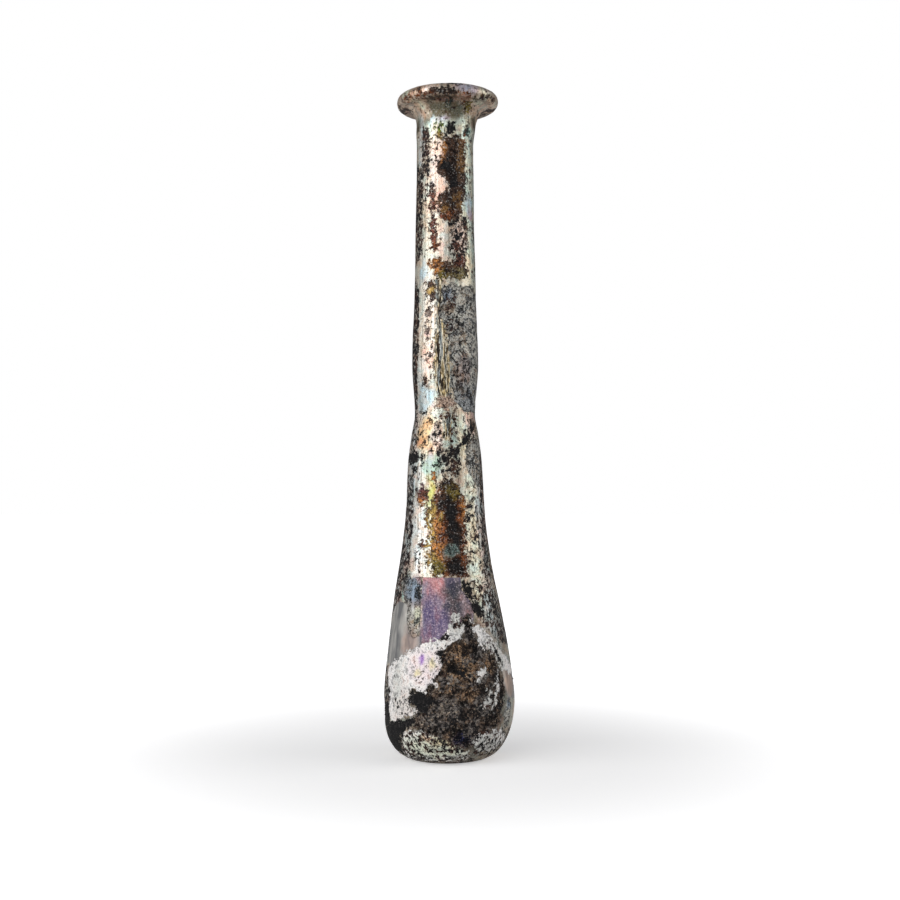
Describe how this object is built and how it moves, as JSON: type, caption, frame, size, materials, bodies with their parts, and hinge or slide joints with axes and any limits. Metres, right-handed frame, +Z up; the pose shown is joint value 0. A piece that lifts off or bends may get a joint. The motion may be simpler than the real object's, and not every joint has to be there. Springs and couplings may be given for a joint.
{
  "type": "glass unguentarium",
  "caption": "Slim blown-glass scent flask with a tear-shaped belly, a pinched waist, a long neck and a rolled lip.",
  "frame": {"origin": "under the middle of the belly, on the plane that the vessel stands on", "axes": "+Z up along the neck towards the mouth, -Y towards the side that the picture shows"},
  "size_m": [0.031, 0.031, 0.1551],
  "materials": {
    "glass": "old glass under a silvery, pitted weathering film, with brown soil crust"
  },
  "bodies": {
    "root": {"vessel": "glass"}
  },
  "joints": []
}
